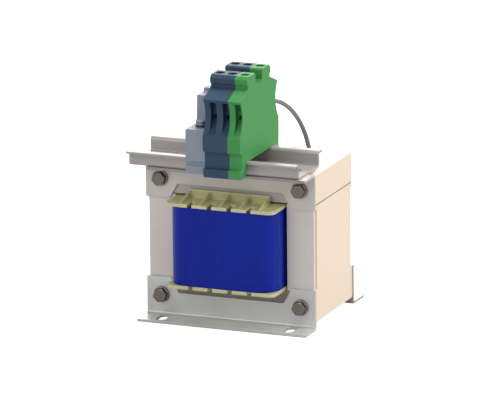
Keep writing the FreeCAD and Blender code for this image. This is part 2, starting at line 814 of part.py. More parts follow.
def make_rivet(label):
    """Round head on the rail, shank through rail and flange, closed end below."""
    body = new_body(label)
    grip = "(dim.rail_sheet + dim.sheet_thickness)"
    shank = new_sketch(body, "XY_Plane")
    draw_circle(shank, "0", "0", "dim.bolt_diameter")
    add_pad(body, shank, f"{grip} + dim.rivet_tail_height", reverse=True)
    head = new_sketch(body, "XY_Plane")
    draw_circle(head, "0", "0", "dim.rivet_head")
    add_pad(body, head, "dim.rivet_head_height")
    tail = new_sketch(body, "XY_Plane", f"-{grip}")
    draw_circle(tail, "0", "0", "dim.rivet_tail")
    add_pad(body, tail, "dim.rivet_tail_height", reverse=True)
    head_rim = value("dim.rivet_head_height")
    dress_edges(
        body, "Fillet", "dim.rivet_head_height * 0.7", lambda edge: near(edge.CenterOfMass.z, head_rim)
    )
    tail_rim = -value(f"{grip} + dim.rivet_tail_height")
    dress_edges(
        body, "Fillet", "dim.rivet_tail_height * 0.5", lambda edge: near(edge.CenterOfMass.z, tail_rim)
    )
    return body


def make_rail_rivets():
    made = []
    for side, sign in (("left", "-"), ("right", "")):
        rivet = make_rivet(f"rail_rivet_{side}")
        place(rivet, f"{sign}{rivet_x}", rivet_y, f"{rail_floor} + dim.rail_sheet")
        made.append(rivet)
    return made


# Terminals. Own frame: left side at x = 0, middle at y = 0, rail's top at z = 0.
def make_terminal(label, number):
    body = new_body(label)
    flange_front = "(dim.rail_width / 2 - dim.terminal_offset + dim.hook_space)"
    flange_rear = "(dim.rail_width / 2 + dim.terminal_offset + dim.hook_space)"
    under = "(-dim.rail_sheet - dim.hook_space)"
    rear_hook = [
        (flange_rear, "0"),
        (flange_rear, under),
        (f"{flange_rear} - dim.hook_nib", under),
        (f"{flange_rear} - dim.hook_nib", f"{under} - 0.8"),
        (f"{flange_rear} + 0.6", f"{under} - 2.0"),
        ("dim.base_half - 0.4", f"{under} - 1.2"),
    ]
    upper = [
        ("dim.base_half", "dim.base_step"),
        ("dim.base_half", "dim.waist_start", "dim.waist_radius", -1),
        ("dim.shoulder_half", "dim.shoulder_height"),
        ("dim.shoulder_half - 3.2", "dim.shoulder_height + 1.4"),
        ("dim.tower_outer - 0.5", "dim.tower_foot - dim.groove_height"),
        ("dim.tower_outer - dim.groove_depth", "dim.tower_foot - dim.groove_height + 0.6"),
        ("dim.tower_outer - dim.groove_depth", "dim.tower_foot - 0.5"),
        ("dim.tower_outer", "dim.tower_foot"),
        ("dim.tower_outer", "dim.tower_top - dim.tower_chamfer"),
        ("dim.tower_outer - dim.tower_chamfer", "dim.tower_top"),
        ("dim.tower_inner + dim.tower_chamfer / 2", "dim.tower_top"),
        ("dim.tower_inner", "dim.tower_top - dim.tower_chamfer / 2"),
        ("dim.tower_inner", "dim.valley_height + 1.6"),
    ]
    front_foot = [
        ("-dim.base_half", "dim.base_step"),
        ("-dim.neck_half", "dim.base_step - 0.6"),
        ("-dim.neck_half", "-dim.foot_drop + dim.lip_height"),
        ("-dim.lip_half", "-dim.foot_drop + dim.lip_height - 0.6"),
        ("-dim.lip_half", "-dim.foot_drop + 0.4"),
        ("-dim.lip_half + 0.5", "-dim.foot_drop"),
        (f"-{flange_front} - 1.2", "-dim.foot_drop"),
        (f"-{flange_front} + dim.hook_nib", f"{under} - 1.5"),
        (f"-{flange_front} + dim.hook_nib", under),
        (f"-{flange_front}", under),
        (f"-{flange_front}", "0"),
    ]
    valley = [("0", "dim.valley_height")]
    outline = new_sketch(body, "YZ_Plane")
    draw_outline(outline, rear_hook + upper + valley + mirrored(upper)[:-1] + front_foot)
    add_pad(body, outline, "dim.terminal_width")
    cut_funnels(body)
    cut_shafts(body)
    start = f"dim.terminal_start + {number} * dim.terminal_width"
    place(body, x=start, y=terminal_middle, z=rail_top)
    return body


def cut_funnels(body):
    """Tall scooped mouths, front and rear, that lead a wire to its clamp."""
    funnel = new_sketch(body, "YZ_Plane", "dim.funnel_side")
    back = "(dim.base_half - dim.funnel_depth)"
    for side in (-1, 1):
        corners = [
            ("dim.base_half + 1", "dim.funnel_foot"),
            ("dim.base_half - 1.2", "dim.funnel_foot"),
            (back, "dim.wire_height - dim.wire_hole / 2"),
            (back, "dim.funnel_top - 1"),
            (f"{back} + 1", "dim.funnel_top"),
            ("dim.base_half + 1", "dim.funnel_top"),
        ]
        draw_outline(funnel, [(f"{side} * ({y})", z) for y, z in corners])
    add_pocket(body, funnel, "dim.funnel_width", reverse=True)
    hole = new_sketch(body, "XZ_Plane")
    draw_circle(hole, "dim.funnel_side + dim.funnel_width / 2", "dim.wire_height", "dim.wire_hole")
    add_pocket(body, hole)


cage_floor = "(dim.wire_height - dim.wire_hole / 2 - dim.cage_wall)"
bar_top = "(dim.wire_height + dim.wire_hole / 2 + dim.bar_thickness)"
clamp_x = "(dim.terminal_width / 2)"


def cut_shafts(body):
    """Room for the clamps, their screws and the bar between them."""
    space = "dim.cage_space"
    for side in (-1, 1):
        middle = f"{side} * dim.clamp_reach"
        room = new_sketch(body, "XY_Plane", f"{cage_floor} - {space}")
        draw_outline(
            room,
            box_corners(
                f"{clamp_x} - dim.cage_width / 2 - {space}",
                f"{clamp_x} + dim.cage_width / 2 + {space}",
                f"{middle} - dim.cage_length / 2 - {space}",
                f"{middle} + dim.cage_length / 2 + {space}",
            ),
        )
        add_pocket(body, room, f"dim.cage_height + 2 * {space}", reverse=True)
    shafts = new_sketch(body, "XY_Plane", f"{cage_floor} + dim.cage_height")
    for side in (-1, 1):
        draw_circle(shafts, clamp_x, f"{side} * dim.clamp_reach", "dim.screw_hole")
    add_pocket(body, shafts, "dim.tower_top", reverse=True)
    channel = new_sketch(body, "XY_Plane", f"{bar_top} - dim.bar_thickness - dim.bar_space")
    gap = "dim.bar_space"
    draw_outline(
        channel,
        [
            (f"{clamp_x} - dim.bar_width / 2 - {gap}", f"-dim.bar_half - {gap}"),
            (f"{clamp_x} + dim.bar_width / 2 + {gap}", f"-dim.bar_half - {gap}"),
            (f"{clamp_x} + dim.bar_width / 2 + {gap}", f"dim.bar_half + {gap}"),
            (f"{clamp_x} - dim.bar_width / 2 - {gap}", f"dim.bar_half + {gap}"),
        ],
    )
    add_pocket(body, channel, f"dim.bar_thickness + 2 * {gap}", reverse=True)


def make_current_bar(label, start):
    bar = doc.addObject("Part::Box", label)
    bar.Label = label
    bar.setExpression("Length", "dim.bar_width")
    bar.setExpression("Width", "2 * dim.bar_half")
    bar.setExpression("Height", "dim.bar_thickness")
    place(
        bar,
        x=f"{start} + {clamp_x} - dim.bar_width / 2",
        y=f"{terminal_middle} - dim.bar_half",
        z=f"{rail_top} + {bar_top} - dim.bar_thickness",
    )
    return bar


def make_cage(label):
    """Loop that pulls the wire up against the bar; own frame at its bottom middle."""
    body = new_body(label)
    half_x, half_y = "dim.cage_width / 2", "dim.cage_length / 2"
    block = new_sketch(body, "XY_Plane")
    draw_outline(block, centred_box(half_x, half_y))
    add_pad(body, block, "dim.cage_height")
    window = new_sketch(body, "XZ_Plane")
    draw_outline(
        window,
        box_corners(
            f"-({half_x}) + dim.cage_wall",
            f"{half_x} - dim.cage_wall",
            "dim.cage_wall",
            "dim.cage_height - dim.cage_nut",
        ),
    )
    add_pocket(body, window)
    bore = new_sketch(body, "XY_Plane", "dim.cage_height")
    draw_circle(bore, "0", "0", "dim.screw_bore")
    add_pocket(body, bore, "dim.cage_nut")
    return body


def make_slotted_screw(label, head, head_height, thread, length):
    """Cheese head screw; own frame with the head's seat at z = 0."""
    body = new_body(label)
    top = new_sketch(body, "XY_Plane")
    draw_circle(top, "0", "0", head)
    add_pad(body, top, head_height)
    shank = new_sketch(body, "XY_Plane")
    draw_circle(shank, "0", "0", thread)
    add_pad(body, shank, length, reverse=True)
    slot = new_sketch(body, "XY_Plane", head_height)
    draw_outline(
        slot,
        centred_box(f"{head}", "dim.screw_slot / 2"),
    )
    add_pocket(body, slot, f"({head_height}) / 2")
    return body


def make_terminal_set():
    made = []
    head_seat = "(dim.tower_top - dim.screw_sink - dim.screw_head_height)"
    for number, name in enumerate(("left", "middle", "right")):
        start = f"dim.terminal_start + {number} * dim.terminal_width"
        made.append(make_terminal(f"terminal_housing_{name}", number))
        made.append(make_current_bar(f"current_bar_{name}", start))
        for side, sign in (("front", -1), ("rear", 1)):
            x = f"{start} + {clamp_x}"
            y = f"{terminal_middle} + {sign} * dim.clamp_reach"
            cage = make_cage(f"clamp_cage_{name}_{side}")
            place(cage, x, y, f"{rail_top} + {cage_floor}")
            screw = make_slotted_screw(
                f"clamp_screw_{name}_{side}",
                "dim.screw_head",
                "dim.screw_head_height",
                "dim.screw_thread",
                f"{head_seat} - {bar_top}",
            )
            place(screw, x, y, f"{rail_top} + {head_seat}")
            made += [cage, screw]
    return made


# End bracket that stops the terminals from sliding, clamped to the rail by its own screw.
def make_end_bracket():
    body = new_body("end_bracket")
    flange_front = "(dim.rail_width / 2 - dim.terminal_offset + dim.hook_space)"
    flange_rear = "(dim.rail_width / 2 + dim.terminal_offset + dim.hook_space)"
    under = "(-dim.rail_sheet - dim.hook_space)"
    outline = new_sketch(body, "YZ_Plane")
    draw_outline(
        outline,
        [
            (flange_rear, "0"),
            (flange_rear, under),
            (f"{flange_rear} - dim.hook_nib", under),
            (f"{flange_rear} + 0.4", f"{under} - 2.4"),
            ("dim.end_back", f"{under} - 2.4"),
            ("dim.end_back", "dim.end_deck - 5"),
            ("dim.end_tower_back + 2", "dim.end_deck"),
            ("dim.end_tower_back", "dim.end_top"),
            ("dim.end_tower_front + 1", "dim.end_top"),
            ("dim.end_tower_front + 1", "dim.end_top + dim.end_peg"),
            ("dim.end_tower_front - 4", "dim.end_top + dim.end_peg"),
            ("dim.end_tower_front - 4", "dim.end_top"),
            ("-dim.end_tower_front", "dim.end_top"),
            ("-dim.end_tower_front - 0.8", "dim.end_deck + 2.2"),
            ("-dim.end_tower_front - 2.4", "dim.end_deck"),
            ("-dim.end_front", "dim.end_deck"),
            ("-dim.end_front", "-0.6"),
            ("-dim.end_front + 1", "-1.2"),
            ("-dim.end_front + 1", "-2.2"),
            ("-dim.end_front", "-2.8"),
            ("-dim.end_front", "-dim.foot_drop + 0.6"),
            (f"-{flange_front} - 1.2", "-dim.foot_drop + 0.6"),
            (f"-{flange_front} + dim.hook_nib", f"{under} - 1.5"),
            (f"-{flange_front} + dim.hook_nib", under),
            (f"-{flange_front}", under),
            (f"-{flange_front}", "0"),
        ],
    )
    add_pad(body, outline, "dim.end_width", reverse=True)
    hole = new_sketch(body, "XY_Plane", "dim.end_deck")
    draw_circle(hole, "-dim.end_width / 2", "-dim.end_screw_reach", "dim.screw_bore")
    add_pocket(body, hole, "dim.end_deck - 1.5")
    place(body, x="dim.terminal_start", y=terminal_middle, z=rail_top)
    return body


def make_end_screw():
    screw = make_slotted_screw(
        "end_bracket_screw",
        "dim.end_screw_head",
        "dim.screw_head_height",
        "dim.screw_thread",
        "dim.end_screw_length",
    )
    place(
        screw,
        "dim.terminal_start - dim.end_width / 2",
        f"{terminal_middle} - dim.end_screw_reach",
        f"{rail_top} + dim.end_deck",
    )
    return screw


# Lead from the right terminal's rear clamp down to a notch behind the coil.
lead_route = [
    (13.25, -11.85, 103.75),
    (13.3, -0.25, 103.3),
    (13.1, 17.25, 95.6),
    (12.7, 30.55, 86.6),
    (12.2, 40.6, 76.9),
    (12.4, 44.7, 69.0),
    (13.7, 44.15, 63.4),
    (14.78, 40.45, 60.1),
    (14.78, 35.95, 58.95),
]


def make_lead():
    points = [Vector(*point) for point in lead_route]
    radius = value("dim.lead_diameter") / 2
    edges = []
    start = points[0]
    for before, corner, after in zip(points, points[1:], points[2:]):
        back, ahead = before - corner, after - corner
        half_turn = (math.pi - back.getAngle(ahead)) / 2
        reach = 0.45 * min(back.Length, ahead.Length)
        bend = reach / math.tan(half_turn)
        entry = corner + back.normalize() * reach
        leave = corner + ahead.normalize() * reach
        inward = (back + ahead).normalize()
        middle = corner + inward * (bend / math.cos(half_turn) - bend)
        edges.append(Part.LineSegment(start, entry).toShape())
        edges.append(Part.Arc(entry, middle, leave).toShape())
        start = leave
        print("lead bend radius", round(bend, 1))
    edges.append(Part.LineSegment(start, points[-1]).toShape())
    path = Part.Wire(edges)
    section = Part.Wire(Part.Circle(points[0], points[1] - points[0], radius).toShape())
    tube = path.makePipeShell([section], True, True)
    print("lead length", round(path.Length, 1))
    print("lead volume", round(tube.Volume, 1), round(math.pi * radius**2 * path.Length, 1))
    lead = doc.addObject("Part::Feature", "coil_lead_wire")
    lead.Label = "coil_lead_wire"
    lead.Shape = tube
    place(lead)
    return lead


pieces = [make_e_core(), make_i_yoke(), make_gap_spacer()]
pieces += [make_bobbin(), make_winding(), make_wrap()]
pieces += make_brackets()
pieces += make_clamp_set()
pieces += [make_rail()]
pieces += make_rail_rivets()
pieces += make_terminal_set()
pieces += [make_end_bracket(), make_end_screw(), make_lead()]
doc.recompute()

for item in doc.Objects:
    if "Invalid" in item.State or "Error" in item.State:
        raise ValueError(f"{item.Label} is {item.State}")
for piece in pieces:
    shape = piece.Shape
    if shape.isNull() or not shape.isValid() or not shape.Solids:
        raise ValueError(f"{piece.Label} has no valid solid")
for piece in pieces:
    piece.Shape.exportStep(f"parts/{piece.Label}.step")
print(len(pieces), "pieces written")
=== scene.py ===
import math

import bmesh
import bpy
from mathutils import Matrix, Vector


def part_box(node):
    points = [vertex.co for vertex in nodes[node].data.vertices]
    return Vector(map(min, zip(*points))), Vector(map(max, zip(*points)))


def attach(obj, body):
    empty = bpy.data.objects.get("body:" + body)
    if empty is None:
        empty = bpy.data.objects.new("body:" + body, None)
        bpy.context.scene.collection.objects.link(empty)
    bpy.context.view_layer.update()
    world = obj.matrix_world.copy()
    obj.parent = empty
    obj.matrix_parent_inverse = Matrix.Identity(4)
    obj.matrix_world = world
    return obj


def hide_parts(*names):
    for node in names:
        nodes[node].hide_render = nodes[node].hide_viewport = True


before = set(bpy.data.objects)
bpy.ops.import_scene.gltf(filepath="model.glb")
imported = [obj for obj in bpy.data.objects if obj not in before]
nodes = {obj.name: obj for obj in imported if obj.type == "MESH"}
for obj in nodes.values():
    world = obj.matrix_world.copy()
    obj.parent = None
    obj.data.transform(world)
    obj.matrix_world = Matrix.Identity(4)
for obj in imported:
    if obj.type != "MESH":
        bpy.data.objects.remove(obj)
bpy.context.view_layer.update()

coreMiddle = Vector((0.00145, 0.0051, 0))  # the core's middle in the row frame


def linear(rgb):  # sRGB 0-255 to linear, with alpha
    parts = [c / 255 for c in rgb]
    parts = [c / 12.92 if c <= 0.04045 else ((c + 0.055) / 1.055) ** 2.4 for c in parts]
    return (*parts, 1.0)


cameraLook = {
    "yaw": 22.0756,      # degrees round to the object's right
    "pitch": 14.7806,    # degrees above the horizon
    "roll": -0.5992,
    "distance": 3.3333,  # metres
    "pixelsPerMetre": 2120.0,
    "target": (-0.00868, 0.00888, 0.05026),  # at the picture's centre, from the core's middle
    "pictureWidth": 480,
    "sensor": 36,        # mm
    "clip": (0.1, 30),
}


def makeCamera(look):
    a, b, r = (math.radians(look[k]) for k in ("yaw", "pitch", "roll"))
    forward = Vector((-math.sin(a) * math.cos(b), math.cos(a) * math.cos(b), -math.sin(b)))
    flatRight = Vector((math.cos(a), math.sin(a), 0))
    flatDown = Vector((math.sin(a) * math.sin(b), -math.cos(a) * math.sin(b), -math.cos(b)))
    right = flatRight * math.cos(r) - flatDown * math.sin(r)
    down = flatRight * math.sin(r) + flatDown * math.cos(r)
    data = bpy.data.cameras.new("photoCamera")
    camera = bpy.data.objects.new("photoCamera", data)
    bpy.context.scene.collection.objects.link(camera)
    turn = Matrix((right, -down, -forward)).transposed()
    place = coreMiddle + Vector(look["target"]) - forward * look["distance"]
    camera.matrix_world = Matrix.Translation(place) @ turn.to_4x4()
    data.sensor_fit = "HORIZONTAL"
    data.sensor_width = look["sensor"]
    data.lens = look["sensor"] * look["pixelsPerMetre"] * look["distance"] / look["pictureWidth"]
    data.clip_start, data.clip_end = look["clip"]
    bpy.context.scene.camera = camera


makeCamera(cameraLook)
print("camera set")


def newMaterial(name):
    material = bpy.data.materials.new(name)
    material.use_nodes = True
    tree = material.node_tree
    shader = next(n for n in tree.nodes if n.type == "BSDF_PRINCIPLED")
    return material, tree, shader


def link(tree, a, outName, b, inName):
    tree.links.new(a.outputs[outName], b.inputs[inName])


def objectPoints(tree, stretch=(1, 1, 1)):  # object coordinates, stretched for a grain's direction
    coords = tree.nodes.new("ShaderNodeTexCoord")
    mapping = tree.nodes.new("ShaderNodeMapping")
    mapping.inputs["Scale"].default_value = stretch
    link(tree, coords, "Object", mapping, "Vector")
    return mapping


def addNoise(tree, points, scale, detail=3, roughness=0.5):
    noise = tree.nodes.new("ShaderNodeTexNoise")
    noise.inputs["Scale"].default_value = scale
    noise.inputs["Detail"].default_value = detail
    noise.inputs["Roughness"].default_value = roughness
    link(tree, points, "Vector", noise, "Vector")
    return noise


def addRange(tree, source, output, low, high, fromLow=0.3, fromHigh=0.7):
    ranged = tree.nodes.new("ShaderNodeMapRange")
    ranged.inputs["From Min"].default_value = fromLow
    ranged.inputs["From Max"].default_value = fromHigh
    ranged.inputs["To Min"].default_value = low
    ranged.inputs["To Max"].default_value = high
    link(tree, source, output, ranged, "Value")
    return ranged


def addMix(tree, factor, factorOut, first, second):
    mix = tree.nodes.new("ShaderNodeMix")
    mix.data_type = "RGBA"
    for socket, value in ((mix.inputs[6], first), (mix.inputs[7], second)):
        if isinstance(value, tuple):
            socket.default_value = value
        else:
            tree.links.new(value, socket)
    link(tree, factor, factorOut, mix, "Factor")
    return mix


def addTones(tree, noise, base, shade, fromLow=0.3, fromHigh=0.7):  # two tones that follow a noise
    tone = addRange(tree, noise, "Fac", 0, 1, fromLow, fromHigh)
    return addMix(tree, tone, "Result", linear(base), linear(shade))


def addPlaces(tree):  # the object coordinates, one output each
    split = tree.nodes.new("ShaderNodeSeparateXYZ")
    link(tree, objectPoints(tree), "Vector", split, "Vector")
    return split


def addEdges(tree, radius):  # rounded normal at edges, and how far it turns there
    rounded = tree.nodes.new("ShaderNodeBevel")
    rounded.samples = 6
    rounded.inputs["Radius"].default_value = radius
    flat = tree.nodes.new("ShaderNodeNewGeometry")
    turn = tree.nodes.new("ShaderNodeVectorMath")
    turn.operation = "DOT_PRODUCT"
    link(tree, rounded, "Normal", turn, 0)
    link(tree, flat, "True Normal", turn, 1)
    return rounded, addRange(tree, turn, "Value", 1, 0, 0.75, 0.98)


def addBump(tree, shader, source, output, strength, distance, normal=None):
    bump = tree.nodes.new("ShaderNodeBump")
    bump.inputs["Strength"].default_value = strength
    bump.inputs["Distance"].default_value = distance
    link(tree, source, output, bump, "Height")
    if normal:
        link(tree, normal, "Normal", bump, "Normal")
    link(tree, bump, "Normal", shader, "Normal")


# Plated sheet: cloudy tone, fine grain, edges in a tone of abrasion and painted light. In front of
# the given y, a cut edge is painted darker as shade.
def sheetMetal(name, base, shade, edgeWearAndLight, metallic, rough, grain=(1, 1, 1), grainScale=900,
               bump=0.12, edge=0.00025, paintedShadeEdge=None):
    material, tree, shader = newMaterial(name)
    cloud = addNoise(tree, objectPoints(tree), 60, 4, 0.55)
    fine = addNoise(tree, objectPoints(tree, grain), grainScale, 3, 0.6)
    colour = addTones(tree, cloud, base, shade)
    # the edge tone is partly abrasion, partly painted highlight or painted shade along edges
    rounded, edgeWearAndLightMask = addEdges(tree, edge)
    edgeWearAndLightColour = addMix(tree, edgeWearAndLightMask, "Result", colour.outputs[2], linear(edgeWearAndLight))
    # painted shade: the cut edge in front of the given y is darkened
    if paintedShadeEdge:
        front, tone = paintedShadeEdge
        cut = addRange(tree, addPlaces(tree), "Y", 1, 0, front - 0.0001, front + 0.0001)
        edgeWearAndLightColour = addMix(tree, cut, "Result", edgeWearAndLightColour.outputs[2], linear(tone))
    tree.links.new(edgeWearAndLightColour.outputs[2], shader.inputs["Base Color"])
    gloss = addRange(tree, fine, "Fac", rough - 0.06, rough + 0.08)
    link(tree, gloss, "Result", shader, "Roughness")
    shader.inputs["Metallic"].default_value = metallic
    addBump(tree, shader, fine, "Fac", bump, 0.0001, rounded)
    return material


# Spark-eroded grain, slow change of tone, edges in a tone of abrasion and painted highlight.
def mouldedPlastic(name, base, shade, edgeWearAndLight, rough, specular=0.5, edge=0.0003):
    material, tree, shader = newMaterial(name)
    slow = addNoise(tree, objectPoints(tree), 35, 2, 0.5)
    grain = addNoise(tree, objectPoints(tree), 1500, 3, 0.6)
    colour = addTones(tree, slow, base, shade)
    # the edge tone is partly abrasion, partly painted highlight along edges
    rounded, edgeWearAndLightMask = addEdges(tree, edge)
    edgeWearAndLightColour = addMix(tree, edgeWearAndLightMask, "Result", colour.outputs[2], linear(edgeWearAndLight))
    tree.links.new(edgeWearAndLightColour.outputs[2], shader.inputs["Base Color"])
    gloss = addRange(tree, grain, "Fac", rough - 0.05, rough + 0.08)
    link(tree, gloss, "Result", shader, "Roughness")
    shader.inputs["Specular IOR Level"].default_value = specular
    addBump(tree, shader, grain, "Fac", 0.14, 0.00008, rounded)
    return material


def wrappedFilm(name, base, shade):  # glossy film round the coil, with soft upright ripples
    material, tree, shader = newMaterial(name)
    ripple = addNoise(tree, objectPoints(tree, (1, 1, 0.06)), 160, 2, 0.4)
    slow = addNoise(tree, objectPoints(tree, (1, 1, 0.25)), 45, 2, 0.5)
    colour = addTones(tree, slow, base, shade)
    tree.links.new(colour.outputs[2], shader.inputs["Base Color"])
    gloss = addRange(tree, ripple, "Fac", 0.24, 0.36)
    link(tree, gloss, "Result", shader, "Roughness")
    shader.inputs["Specular IOR Level"].default_value = 0.2
    addBump(tree, shader, ripple, "Fac", 0.08, 0.0002)
    return material


# Sheet edges on the sides and top, flat sheet front and back; the face below the given z is painted
# darker as shade.
def laminatedIron(name, edgeTones, faceTones, paintedShadeBelow=None):
    material, tree, shader = newMaterial(name)
    edges = addNoise(tree, objectPoints(tree, (0.02, 1, 0.02)), 2200, 2, 0.7)
    cloud = addNoise(tree, objectPoints(tree), 45, 3, 0.5)
    fine = addNoise(tree, objectPoints(tree), 1100, 3, 0.6)
    geometry = tree.nodes.new("ShaderNodeNewGeometry")
    split = tree.nodes.new("ShaderNodeSeparateXYZ")
    link(tree, geometry, "Normal", split, "Vector")
    absolute = tree.nodes.new("ShaderNodeMath")
    absolute.operation = "ABSOLUTE"
    link(tree, split, "Y", absolute, 0)
    onFace = addRange(tree, absolute, "Value", 0, 1, 0.4, 0.6)
    edgeColour = addTones(tree, edges, *edgeTones, 0.35, 0.65)
    faceColour = addTones(tree, cloud, *faceTones)
    # painted shade: the face below the given height is darkened
    if paintedShadeBelow:
        height, tone = paintedShadeBelow
        low = addRange(tree, addPlaces(tree), "Z", 1, 0, height, height + 0.0006)
        faceColour = addMix(tree, low, "Result", faceColour.outputs[2], linear(tone))
    colour = addMix(tree, onFace, "Result", edgeColour.outputs[2], faceColour.outputs[2])
    tree.links.new(colour.outputs[2], shader.inputs["Base Color"])
    gloss = addRange(tree, fine, "Fac", 0.36, 0.5)
    link(tree, gloss, "Result", shader, "Roughness")
    shader.inputs["Specular IOR Level"].default_value = 0.5
    addBump(tree, shader, edges, "Fac", 0.15, 0.0001)
    return material


sheetEdgeTones = ((236, 218, 199), (239, 222, 203))

# Each one gives base and shade tones, mixed at random, and an edge tone of abrasion and painted
# light.
# Sheet metals then give metallic and roughness, plastics roughness and specular.
finishes = {
    # upper front bracket: the flange's cut edge in front of y -0.0324 is painted darker as shade
    "bracket": sheetMetal("zincBracket", (204, 196, 191), (214, 206, 201), (218, 211, 206),
                          0.35, 0.36, grainScale=700, edge=0.00018,
                          paintedShadeEdge=(-0.0324, (160, 150, 146))),
    # a cooler copy of the zinc finish with lighter edges for the lower brackets: painted reflection
    # and highlight
    "lowerBracketPaintedLight": sheetMetal("zincFootPaintedLight", (205, 204, 202), (214, 213, 211), (234, 233, 231),
                               0.35, 0.36, grainScale=700),
    # a darker copy of the zinc finish for the rear brackets: painted shade
    "rearBracketPaintedShade": sheetMetal("zincRearPaintedShade", (188, 182, 174), (197, 191, 183), (222, 218, 210),
                              0.35, 0.36, grainScale=700),
    "rail": sheetMetal("zincRail", (173, 167, 165), (179, 173, 171), (230, 228, 225),
                       0.28, 0.36, grainScale=500, bump=0.03),
    # the E core's face low in the window, below z 0.0177, is painted darker as shade
    "iron": laminatedIron("laminatedIron", sheetEdgeTones, ((212, 203, 195), (222, 212, 204)),
                          paintedShadeBelow=(0.0177, (141, 135, 131))),
    # the yoke's front face, seen through the bracket's window cut-out, is toned darker as painted
    # shade
    "paintedShadeYokeIron": laminatedIron("paintedShadeYokeIron", sheetEdgeTones, ((186, 180, 178), (193, 187, 185))),
    "spacer": mouldedPlastic("pressedFibre", (96, 76, 52), (112, 90, 64), (128, 106, 80), 0.7, 0.3),
    # the bobbin's near-white edge tone over a wide edge is mostly painted highlight on its flange
    # edges
    "bobbin": mouldedPlastic("bobbinNylon", (198, 197, 141), (206, 205, 150), (255, 246, 218),
                             0.38, edge=0.0007),
    "wrap": wrappedFilm("blueWrap", (0, 30, 146), (0, 35, 153)),
    "copper": sheetMetal("copperWire", (176, 96, 52), (196, 112, 62), (206, 126, 76),
                         0.9, 0.3, grain=(1, 1, 0.05), grainScale=1400),
    "bolt": sheetMetal("darkBolt", (124, 116, 107), (132, 124, 115), (176, 168, 158), 0.75, 0.36),
    # near-black finish for bolt flanks, washer rims and the screw's collar ring: painted shade
    "paintedShadeDark": sheetMetal("paintedShadeFlank", (38, 33, 27), (48, 42, 35), (150, 142, 130),
                            0.2, 0.6, edge=0.00012),
    # the washer's edge tone is darker than its base: painted shade round its rim
    "washer": sheetMetal("zincWasher", (196, 189, 184), (204, 197, 192), (150, 142, 134),
                         0.35, 0.36, edge=0.0001),
    "steel": sheetMetal("paleScrew", (132, 146, 158), (142, 156, 168), (190, 200, 208), 0.6, 0.34),
    "contact": sheetMetal("tinnedContact", (150, 144, 126), (166, 160, 140), (190, 184, 164),
                          0.85, 0.3),
    "dark": mouldedPlastic("slateHousing", (51, 75, 96), (55, 80, 101), (74, 100, 122),
                           0.48, 0.22),
    "green": mouldedPlastic("greenHousing", (65, 146, 77), (69, 152, 82), (104, 178, 114),
                            0.48, 0.3),
    "grey": mouldedPlastic("greyHousing", (138, 147, 161), (144, 153, 167), (178, 190, 206),
                           0.46, 0.35),
    "sleeve": mouldedPlastic("leadSleeve", (113, 116, 118), (122, 125, 127), (128, 131, 133), 0.5),
}


def finishOf(name):
    if name.endswith("_bracket") and name != "end_bracket":
        if "rear" in name:
            return "rearBracketPaintedShade"
        return "lowerBracketPaintedLight" if name.startswith("lower") else "bracket"
    if name.startswith(("clamp_bolt", "clamp_nut", "clamp_washer", "clamp_screw")):
        return "bolt"
    if name.startswith(("current_bar", "clamp_cage")):
        return "contact"
    if name.startswith(("din_rail", "rail_rivet")):
        return "rail"
    return {
        "e_core_stack": "iron",
        "i_core_yoke": "paintedShadeYokeIron",
        "air_gap_spacer": "spacer",
        "bobbin": "bobbin",
        "copper_winding": "copper",
        "coil_wrap": "wrap",
        "terminal_housing_left": "dark",
        "terminal_housing_middle": "dark",
        "terminal_housing_right": "green",
        "end_bracket": "grey",
        "end_bracket_screw": "steel",
        "coil_lead_wire": "sleeve",
    }[name]


def dress(item, material):
    item.data.materials.clear()
    item.data.materials.append(material)


for name, item in nodes.items():
    dress(item, finishes[finishOf(name)])
print("carried-over pieces dressed")


lead = {
    "diameter": 0.0022,
    "length": 0.082,
    "route": [  # mm from the core's middle, as in the part's source
        (13.25, -11.85, 103.75),
        (13.3, -0.25, 103.3),
        (13.1, 17.25, 95.6),
        (12.7, 30.55, 86.6),
        (12.2, 40.6, 76.9),
        (12.4, 44.7, 69.0),
        (13.7, 44.15, 63.4),
        (14.78, 40.45, 60.1),
        (14.78, 35.95, 58.95),
    ],
}


def makeLead(look):
    curve = bpy.data.curves.new("coilLead", "CURVE")
    curve.dimensions = "3D"
    spline = curve.splines.new("NURBS")
    spline.points.add(len(look["route"]) - 1)
    for point, place in zip(spline.points, look["route"]):
        point.co = (*(coreMiddle + Vector(place) / 1000), 1)
    spline.order_u = 3
    spline.use_endpoint_u = True
    spline.resolution_u = 12
    curve.bevel_depth = look["diameter"] / 2
    curve.bevel_resolution = 5
    curve.use_fill_caps = True
    piece = bpy.data.objects.new("coilLead", curve)
    bpy.context.scene.collection.objects.link(piece)
    dress(piece, finishes["sleeve"])
    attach(piece, "root")
    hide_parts("coil_lead_wire")


makeLead(lead)
print("lead laid")


mergeWithin = 1e-7  # metres


def finishPiece(shape, name, looks, stands, turn):  # looks: one finish per material slot
    bmesh.ops.remove_doubles(shape, verts=shape.verts[:], dist=mergeWithin)
    bmesh.ops.recalc_face_normals(shape, faces=shape.faces[:])
    shape.transform(turn)
    mesh = bpy.data.meshes.new(name)
    shape.to_mesh(mesh)
    shape.free()
    piece = bpy.data.objects.new(name, mesh)
    bpy.context.scene.collection.objects.link(piece)
    for look in looks:
        mesh.materials.append(finishes[look])
    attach(piece, "root")
    if stands:
        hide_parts(stands)


def spinProfile(shape, points, steps):  # (radius, height) pairs round the z axis
    verts = [shape.verts.new((r, 0, z)) for r, z in points]
    edges = [shape.edges.new(pair) for pair in zip(verts, verts[1:])]
    bmesh.ops.spin(shape, geom=verts + edges, cent=(0, 0, 0), axis=(0, 0, 1),
                   angle=2 * math.pi, steps=steps, use_merge=True)


